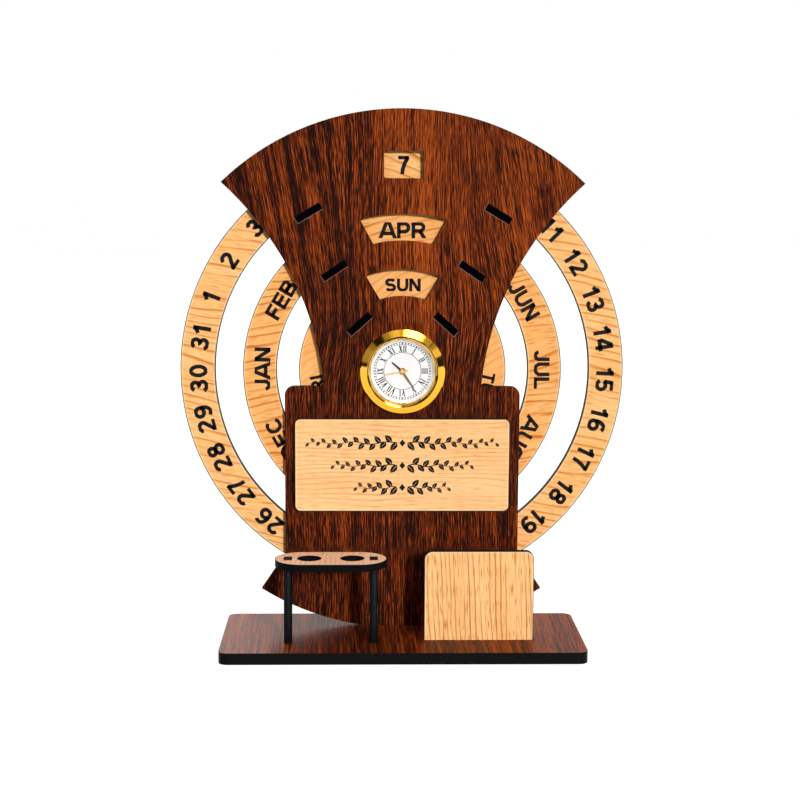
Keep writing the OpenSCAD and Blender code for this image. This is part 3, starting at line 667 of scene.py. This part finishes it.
# %% [markdown]
# A ring carries the same kind of mark again and again, so Geometry Nodes lay them out.
# One vertex stands for one letter. It carries which letter it is, how far along its word it stands and
# how far round the ring its word is. The tree puts the right letter there, turns it to face outwards,
# makes it real mesh and gives it its ink. Separate text objects would do, but then each is placed by hand.

# %% The tree that lays letters round a ring


def field(tree, name):
    """The number that each vertex carries under this name."""
    made = new_node(tree, "GeometryNodeInputNamedAttribute", Name=name)
    made.data_type = "FLOAT"
    return Wire(tree, made.outputs["Attribute"])


def new_tree(name, result, **inputs):
    """A Geometry Nodes tree with these inputs and one result, its start node and its end node."""
    tree = bpy.data.node_groups.new(name, "GeometryNodeTree")
    tree.is_modifier = True
    for label, kind in inputs.items():
        tree.interface.new_socket(label.replace("_", " "), in_out="INPUT", socket_type="NodeSocket" + kind)
    tree.interface.new_socket(result, in_out="OUTPUT", socket_type="NodeSocketGeometry")
    return tree, tree.nodes.new("NodeGroupInput"), tree.nodes.new("NodeGroupOutput")


def ink_and_end(tree, shape, start, end):
    """Makes a tree's shape real mesh, gives it its ink and hands it out."""
    real = new_node(tree, "GeometryNodeRealizeInstances", Geometry=shape)
    ink = new_node(tree, "GeometryNodeSetMaterial", Geometry=real.outputs[0], Material=start.outputs["Ink"])
    tree.links.new(ink.outputs[0], end.inputs[0])


def letters_round_a_ring():
    """Turns each place into its letter, turned about the ring's centre."""
    tree, start, end = new_tree("letters_round_a_ring", "Marks", Places="Geometry", Letters="Collection",
                                Height="Float", Radius="Float", Ink="Material")
    height, up = (Wire(tree, start.outputs[label]) for label in ("Height", "Radius"))
    turn, shift, which = (field(tree, label) for label in ("turn", "shift", "which"))
    # a word's foot line touches the circle in its middle, and turn counts clockwise from the top
    x = shift * height
    place = vector(tree, x * turn.math("COSINE") + up * turn.math("SINE"),
                   up * turn.math("COSINE") - x * turn.math("SINE"))
    move = new_node(tree, "GeometryNodeSetPosition", Geometry=start.outputs["Places"], Position=place)
    points = new_node(tree, "GeometryNodeMeshToPoints", Mesh=move.outputs[0])
    alphabet = new_node(tree, "GeometryNodeCollectionInfo", Collection=start.outputs["Letters"],
                        Separate_Children=True, Reset_Children=True)
    put = new_node(tree, "GeometryNodeInstanceOnPoints", Points=points.outputs[0],
                   Instance=alphabet.outputs[0], Pick_Instance=True, Instance_Index=which,
                   Rotation=vector(tree, z=turn * -1), Scale=vector(tree, height, height, height))
    ink_and_end(tree, put.outputs[0], start, end)
    return tree


ring_tree = letters_round_a_ring()
print("tree:", ring_tree.name, len(ring_tree.nodes), "nodes")

# %% [markdown]
# The words of a ring are written out as places: each word is centred on its own turn, and a word's
# letters stand side by side with a small gap. The made mesh is then stood up on the ring's front face.

# %% Words on a ring


def plain_mesh(name, tree, data, inputs):
    """Runs a Geometry Nodes tree on a mesh and returns the result as an ordinary mesh."""
    holder = bpy.data.objects.new(name + "_maker", data)
    bpy.context.scene.collection.objects.link(holder)
    modifier = holder.modifiers.new("maker", "NODES")
    modifier.node_group = tree
    for item in tree.interface.items_tree:
        if item.item_type == "SOCKET" and item.in_out == "INPUT" and item.name in inputs:
            modifier[item.identifier] = inputs[item.name]
    graph = bpy.context.evaluated_depsgraph_get()
    made = bpy.data.meshes.new_from_object(holder.evaluated_get(graph), preserve_all_data_layers=True,
                                           depsgraph=graph)
    holder.modifiers.remove(modifier)
    bpy.data.objects.remove(holder)
    made.name = name
    return made


def stand_up(data, y):
    """Turns a flat drawing to face the front and puts it on the clock's axis, its back at y."""
    data.transform(Matrix(((1, 0, 0, CENTRE.x), (0, 0, -1, y), (0, 1, 0, CENTRE.z), (0, 0, 0, 1))))


def piece(name, data, body):
    """A finished mesh becomes a piece of the object that moves with its body."""
    made = bpy.data.objects.new(name, data)
    bpy.context.scene.collection.objects.link(made)
    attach(made, body)
    print(name, len(data.polygons), "faces on", body)


LETTER_DEPTH = 0.004  # a letter's thickness, as a share of its height


def words_round(name, words, radius, height, pen, gap, ink, shapes=LETTERS, gather=0.0):
    """Words laid round a circle of this radius in mm, flat, as one mesh.

    gather draws the words at the sides nearer to the top by this many degrees, as the engraver set them.
    """
    used = sorted(set("".join(words)))
    case = bpy.data.collections.new(name + "_letters")
    for letter in used:
        flat = letter_mesh(f"{name}_{ord(letter)}", shapes[letter][1], pen, LETTER_DEPTH)
        case.objects.link(bpy.data.objects.new(flat.name, flat))
    order = sorted(used, key=lambda letter: f"{name}_{ord(letter)}")
    rows = []
    for number, word in enumerate(words):
        widths = [shapes[letter][0] for letter in word]
        turn = 2 * math.pi * number / len(words)
        turn -= math.radians(gather) * math.sin(turn)
        at = -(sum(widths) + gap * (len(word) - 1)) / 2
        for letter, width in zip(word, widths):
            rows.append((order.index(letter), at, turn))
            at += width + gap
    place = bpy.data.meshes.new(name + "_places")
    place.vertices.add(len(rows))
    for column, label in enumerate(("which", "shift", "turn")):
        values = place.attributes.new(label, "FLOAT", "POINT")
        values.data.foreach_set("value", [row[column] for row in rows])
    made = plain_mesh(name, ring_tree, place, {"Letters": case, "Height": height * MM,
                                               "Radius": radius * MM, "Ink": ink})
    for letter in list(case.objects):
        bpy.data.objects.remove(letter)
    bpy.data.collections.remove(case)
    return made


def words_on_ring(kind, words, height, pen, gap, ink, gather, inward):
    """Words on a ring's front face, inward mm nearer to the bore than the middle of the band."""
    node = kind + "_ring"
    bore, rim = (r / MM for r in radii(node))
    middle = (bore + rim - height) / 2
    made = words_round(kind + "_marks", words, middle - inward, height, pen, gap, ink, gather=gather)
    stand_up(made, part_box(node)[0].y)
    piece(kind + "_marks", made, kind + "_wheel")


ink = smooth_plastic("engraver_black", (9, 8, 8), 0.6, 0.05, 3.0, 0.1).material
dates = [str((6 + n) % 31 + 1) for n in range(31)]
months = "APR MAY JUN JUL AUG SEP OCT NOV DEC JAN FEB MAR".split()
weekdays = "SUN MON TUE WED THU FRI SAT".split()
for kind, words, height, pen, gap, gather, inward in (
        ("date", dates, 7.9, 0.22, 0.17, 0.6, 0.2),
        ("month", months, 6.9, 0.235, 0.105, 0.55, 1.1),
        ("weekday", weekdays, 5.55, 0.245, 0.105, 0.55, 0.2)):
    words_on_ring(kind, words, height, pen, gap, ink, gather, inward)

# %% [markdown]
# Each guide ends flush in its slot, and its lower left edges catch the light as thin grey lines, which are
# painted on as highlights. The other edges get black strips: partly the burnt slot edge, and partly painted
# shade in the gap. Such a line is far narrower than the gap round the guide, so it is drawn as a flat strip
# along the outline.

# %% Painted bright edges of the guides


IN_FRONT = 0.03 * MM  # the strips lie this far in front of the board
SAME_PLACE = 1e-5


def outlines(names, wide, light_from):
    """Strips wide mm across round the guides' front ends. Those that face light_from get the second finish, a
    painted highlight, and the others the first, black for the burnt edge with painted shade.
    """
    shape = bmesh.new()
    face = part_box("front_panel")[0].y - IN_FRONT
    for name in names:
        points = [v.co for v in part[name].data.vertices]
        front = min(p.y for p in points)
        for hand in (-1, 1):
            corners = {(round(p.x, 6), round(p.z, 6)) for p in points
                       if p.y < front + SAME_PLACE and p.x * hand > 0}
            middle = Vector([sum(c[i] for c in corners) / len(corners) for i in (0, 1)])
            ring = sorted((Vector(c) for c in corners),
                          key=lambda c: math.atan2(c.y - middle.y, c.x - middle.x))
            for start, end in zip(ring, ring[1:] + ring[:1]):
                out = Vector((end.y - start.y, start.x - end.x)).normalized()
                shift = out * wide * MM
                strip = [shape.verts.new((c.x, face, c.y)) for c in (start, end, end + shift, start + shift)]
                shape.faces.new(strip).material_index = int(out.dot(light_from) > 0)
    for flat in shape.faces:
        flat.normal_update()
        if flat.normal.y > 0:
            flat.normal_flip()
    return finished(shape, "guide_edges")


edges = outlines(("date_guides", "month_guides", "weekday_guides"), 0.22, Vector((-0.6, -0.8)))
# black strips: burnt slot edge with painted shade in the gap; grey strips: painted highlight where the edge
# faces the light
edges.materials.append(smooth_plastic("guide_edge_black", (6, 6, 7), 0.6, 0.05, 3.0, 0.0).material)
edges.materials.append(smooth_plastic("guide_edge_grey", (138, 102, 94), 0.4, 0.05, 3.0, 0.1).material)
piece("guide_edges", edges, "stand")

# %% [markdown]
# The dial's print is a minute track, a thin circle and slim Roman hours that stand with their tops outwards.
# The same tree lays them out: the hours are words made of I, V and X, and each minute is a small block.

# %% Dial print
def serif(left, right, height):
    """A level stroke with a pen 0.4 times as broad."""
    return 0.4, bar(left, right, height)


ROMAN = {
    "I": (0.24, [post(0.12), serif(0.0, 0.24, 0.97), serif(0.0, 0.24, 0.03)]),
    "V": (0.66, [(1.2, [(0.12, 1.1), (0.34, -0.02)]), (0.5, [(0.34, -0.02), (0.55, 1.1)]),
                 serif(0.0, 0.26, 0.97), serif(0.44, 0.66, 0.97)]),
    "X": (0.66, [(1.2, [(0.10, 1.1), (0.54, -0.1)]), (0.5, [(0.54, 1.1), (0.12, -0.1)]),
                 serif(0.0, 0.25, 0.97), serif(0.41, 0.63, 0.97),
                 serif(0.02, 0.24, 0.03), serif(0.42, 0.66, 0.03)]),
    "m": (0.45, [post(0.225)]),
    "h": (0.9, [post(0.45), bar(0.0, 0.9, 0.5)]),
}
hours = "XII I II III IV V VI VII VIII IX X XI".split()
minutes = ["m" if n % 5 else "h" for n in range(60)]
dial_ink = smooth_plastic("dial_ink", (36, 40, 54), 0.5, 0.05, 3.0, 0.1).material


INK_DEPTH = 0.01 * MM


def rings_of_ink(*rings):
    """Thin printed circles, each a radius and a width in mm."""
    shape = bmesh.new()
    for radius, width in rings:
        ribbon(shape, bow(0, 0, radius * MM, radius * MM, 0, 360, 96), width * MM, INK_DEPTH)
    return finished(shape, "rings_of_ink")


def joined(name, finish, *meshes):
    """Several meshes as one, with one finish."""
    whole = bmesh.new()
    for data in meshes:
        whole.from_mesh(data)
    data = finished(whole, name)
    data.materials.append(finish)
    data.polygons.foreach_set("material_index", [0] * len(data.polygons))
    return data


print_mesh = joined(
    "dial_print", dial_ink,
    words_round("hour_figures", hours, 8.45, 2.75, pen=0.17, gap=0.07, ink=dial_ink, shapes=ROMAN),
    words_round("minute_blocks", minutes, 11.75, 0.75, pen=0.5, gap=0, ink=dial_ink, shapes=ROMAN),
    rings_of_ink((8.15, 0.24), (11.7, 0.15), (12.55, 0.17)))
stand_up(print_mesh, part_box("clock_dial")[0].y)
piece("dial_print", print_mesh, "clock_insert")

# %% [markdown]
# The name plate carries a plain leaf ornament, burnt black by the engraver: three sprigs, one under another.
# A sprig repeats one leaf along a stem, so Geometry Nodes draw it. The stem is a line that waves gently,
# the leaves stand on it by turns left and right, and both thin out towards the tip.

# %% A leaf


def leaf_mesh():
    """A pointed leaf, one unit long from its foot, split along its middle rib."""
    shape = bmesh.new()
    for way in (1, -1):
        outer = [(t, way * (0.03 + 0.27 * math.sin(math.pi * t ** 0.8) ** 0.9))
                 for t in (i / 10 for i in range(11))]
        inner = [(t, way * 0.022 * (1 - t)) for t, _ in outer]
        low = [shape.verts.new((x, y, 0)) for x, y in inner]
        high = [shape.verts.new((x, y if 0 < i < 10 else inner[i][1] + way * 0.002, 0))
                for i, (x, y) in enumerate(outer)]
        for i in range(10):
            corners = (low[i], low[i + 1], high[i + 1], high[i])
            shape.faces.new(corners if way == 1 else corners[::-1])
    return finished(shape, "leaf")


print("leaf:", len(leaf_mesh().polygons), "faces")

# %% The tree that grows a sprig


WAVES, STEM_POINTS, LEAF_LEAN = 2.5, 60, 48
STEM_TAPER, LEAF_TAPER = 0.75, 0.5  # how much of the width and of the leaf size is gone at the tip


def sprig_tree():
    """Draws a waving stem that thins out, with leaves that turn left and right in turn."""
    tree, start, end = new_tree("sprig", "Sprig", Start="Geometry", Leaf="Object", Length="Float", Leaves="Int",
                                Leaf_size="Float", Wave="Float", Stem="Float", Ink="Material")
    length, size, wave, stem = (Wire(tree, start.outputs[k]) for k in ("Length", "Leaf size", "Wave", "Stem"))
    line = new_node(tree, "GeometryNodeCurvePrimitiveLine", End=vector(tree, length))
    fine = new_node(tree, "GeometryNodeResampleCurve", Curve=line.outputs[0], Count=STEM_POINTS)
    part_way = Wire(tree, new_node(tree, "GeometryNodeSplineParameter").outputs["Factor"])
    sway = vector(tree, y=(part_way * (2 * math.pi * WAVES)).math("SINE") * wave)
    bent = new_node(tree, "GeometryNodeSetPosition", Geometry=fine.outputs[0], Offset=sway)
    nib = new_node(tree, "GeometryNodeCurvePrimitiveLine", Start=vector(tree, stem * -0.5),
                   End=vector(tree, stem * 0.5))
    strip = new_node(tree, "GeometryNodeCurveToMesh", Curve=bent.outputs[0], Profile_Curve=nib.outputs[0],
                     Scale=part_way * -STEM_TAPER + 1)
    knots = new_node(tree, "GeometryNodeResampleCurve", Curve=bent.outputs[0], Count=start.outputs["Leaves"])
    hand = Wire(tree, new_node(tree, "GeometryNodeInputIndex").outputs[0]).math("MODULO", 2) * 2 - 1
    grown = size * (part_way * -LEAF_TAPER + 1)
    leaf = new_node(tree, "GeometryNodeObjectInfo", Object=start.outputs["Leaf"], As_Instance=True)
    put = new_node(tree, "GeometryNodeInstanceOnPoints", Points=knots.outputs[0],
                   Instance=leaf.outputs["Geometry"], Rotation=vector(tree, z=hand * math.radians(LEAF_LEAN)),
                   Scale=vector(tree, grown, grown, grown))
    both = new_node(tree, "GeometryNodeJoinGeometry")
    for shape in (strip, put):
        tree.links.new(shape.outputs[0], both.inputs[0])
    ink_and_end(tree, both.outputs[0], start, end)
    return tree


sprig = sprig_tree()
print("tree:", sprig.name, len(sprig.nodes), "nodes")

# %% [markdown]
# Each row is one sprig and its mirror image, with a small diamond between them.
# A mirror turns a face inside out, so the mirrored half is turned back.

# %% Ornament on the name plate


STEM_START, TIP_LEAF = 2.4, 1.6  # mm free in the middle, and mm that the last leaf adds at the tip
GEM = ((1.3, 0), (0, 1.6), (-1.3, 0), (0, -1.6))


def sprig_row(name, reach, leaves, ink):
    """A flat sprig and its mirror image, reach mm to each side of the middle."""
    start = bpy.data.meshes.new(name + "_start")
    leaf = bpy.data.objects.new(name + "_leaf", leaf_mesh())
    half = plain_mesh(name, sprig, start, {
        "Leaf": leaf, "Length": (reach - (STEM_START + TIP_LEAF)) * MM, "Leaves": leaves,
        "Leaf size": 4.3 * MM, "Wave": 0.5 * MM, "Stem": 0.5 * MM, "Ink": ink})
    bpy.data.objects.remove(leaf)
    half.transform(Matrix.Translation((STEM_START * MM, 0, 0)))
    other = half.copy()
    other.transform(Matrix.Scale(-1, 4, (1, 0, 0)))
    other.flip_normals()
    gem = bmesh.new()
    gem.faces.new([gem.verts.new((x * MM, y * MM, 0)) for x, y in GEM])
    return joined(name, ink, half, other, finished(gem, name + "_gem"))


low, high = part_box("name_plate")
rows = []
for drop, reach, leaves in ((10.6, 42.5, 17), (20.6, 31.5, 13), (30.4, 21.5, 9)):
    row = sprig_row(f"sprigs_{leaves}", reach, leaves, ink)
    row.transform(Matrix.Translation((0, high.z - drop * MM - CENTRE.z, 0)))
    rows.append(row)
ornament = joined("plate_ornament", ink, *rows)
ornament.transform(Matrix.Translation((0, 0, 0.02 * MM)))
stand_up(ornament, low.y)
piece("plate_ornament", ornament, "stand")

# %% [markdown]
# The clock stands on a plain white sheet in soft light. One broad lamp from the right and a little above
# draws the thin shadows beside the plates, a weaker one lights the back, and the rest of the light comes
# evenly from the white room. The sheet is painted grey, so that it throws little light up into the shadows,
# and it is helped to white only for the camera and for mirrors. It keeps a faint shadow that way.

# %% Floor


def rays(tree, *kinds):
    """A wire for each kind of ray, such as Camera: 1 for a ray of that kind, and 0 for any other."""
    seen = tree.nodes.new("ShaderNodeLightPath")
    return [Wire(tree, seen.outputs[f"Is {kind} Ray"]) for kind in kinds]


sheet = bpy.data.meshes.new("white_sheet")
sheet.from_pydata([(-4, -4, 0), (4, -4, 0), (4, 4, 0), (-4, 4, 0)], [], [(0, 1, 2, 3)])
floor = bpy.data.objects.new("white_sheet", sheet)
bpy.context.scene.collection.objects.link(floor)
floor.location.z = -0.0002
sheet_finish = Finish("white_sheet", Roughness=0.9)
tree = sheet_finish.tree
x, y, _ = sheet_finish.place
fleck = sheet_finish.cloud(x * 0.2, y * 0.2)
sheet_finish.set("Base Color", blend(tree, fleck, rgb(148, 148, 148), rgb(152, 152, 152)))
by_eye, by_mirror = rays(tree, "Camera", "Glossy")
sheet_finish.set("Emission Strength", (by_eye + by_mirror).math("MINIMUM", 1) * 0.84)
sheet_finish.shader.inputs["Emission Color"].default_value = WHITE
sheet.materials.append(sheet_finish.material)

# %% [markdown]
# Polished gold shows the room more than itself. In the photograph the rim mirrors a studio: white panels
# with dark gaps between them over the clock, and the white table below it. So the room looks different to
# a mirrored ray than to the eye: round the way in front of the clock it is drawn as panels and gaps by
# the hour they stand at, and behind the clock it is plain white. The eye always sees plain white.

# %% Room light and lamp
FILL, CEILING, STRAIGHT = 0.10, 0.64, 0.12
# the room as a mirror sees it: brightness by the hour, clockwise from the top
PANELS = (
    (0.0, 0.55), (0.08, 3.0), (0.3, 14.0), (0.8, 14.0), (1.0, 2.5), (1.1, 0.42), (1.44, 0.50), (1.5, 0.08),
    (1.56, 0.36), (1.73, 0.42), (1.79, 0.92), (2.15, 0.97), (2.2, 0.02), (2.88, 0.02), (2.94, 0.6),
    (3.03, 0.3), (3.1, 1.0), (9.0, 1.0), (9.05, 0.02), (9.5, 0.02), (9.55, 0.36), (10.1, 0.44), (10.3, 0.24),
    (10.48, 0.30), (10.53, 0.015), (11.0, 0.015), (11.06, 0.30), (11.35, 0.42), (11.45, 0.8), (11.8, 1.0),
    (11.92, 0.6), (12.0, 0.55))
room = bpy.data.worlds.new("white_room")
bpy.context.scene.world = room
room.use_nodes = True
tree = room.node_tree
eye, mirror, through = rays(tree, "Camera", "Glossy", "Transmission")
compass = tree.nodes.new("ShaderNodeTexCoord")
way = tree.nodes.new("ShaderNodeSeparateXYZ")
tree.links.new(compass.outputs["Generated"], way.inputs[0])
right, back, up = (Wire(tree, out) for out in way.outputs)
look = ahead.normalized()
hour = ((right - look.x).math("ARCTAN2", up - look.z) * (6 / math.pi) + 12).math("MODULO", 12)
panels = ladder(tree, hour * (1 / 12), *((h / 12, (v, v, v, 1)) for h, v in PANELS))
straight = (back * -1).step(0.86, 0.96)
studio = panels * straight.flip() + straight * STRAIGHT
behind = back.step(-0.15, 0.1)
studio = studio * behind.flip() + behind
seen_white = (eye + through).math("MINIMUM", 1)
soft_light = up.step(0.35, 0.95) * CEILING + FILL
light = seen_white + seen_white.flip() * (mirror * studio + mirror.flip() * soft_light)
feed(tree, light, tree.nodes["Background"].inputs["Strength"])
tree.nodes["Background"].inputs["Color"].default_value = WHITE


def far_lamp(name, energy, angle, comes_from):
    """A sun that shines from one direction. A bigger angle, in degrees, gives softer shadows."""
    sun = bpy.data.lights.new(name, "SUN")
    sun.energy, sun.angle = energy, math.radians(angle)
    lamp = bpy.data.objects.new(name, sun)
    lamp.rotation_euler = Vector(comes_from).to_track_quat("Z", "Y").to_euler()
    bpy.context.scene.collection.objects.link(lamp)


far_lamp("key_lamp", 2.95, 8, (0.36, -1.0, 0.30))
far_lamp("back_lamp", 1.0, 30, (-0.3, 1.0, 0.5))
bpy.context.scene.view_settings.view_transform = "Standard"
print("fill", FILL, "lamps", [lamp.name for lamp in bpy.data.lights])
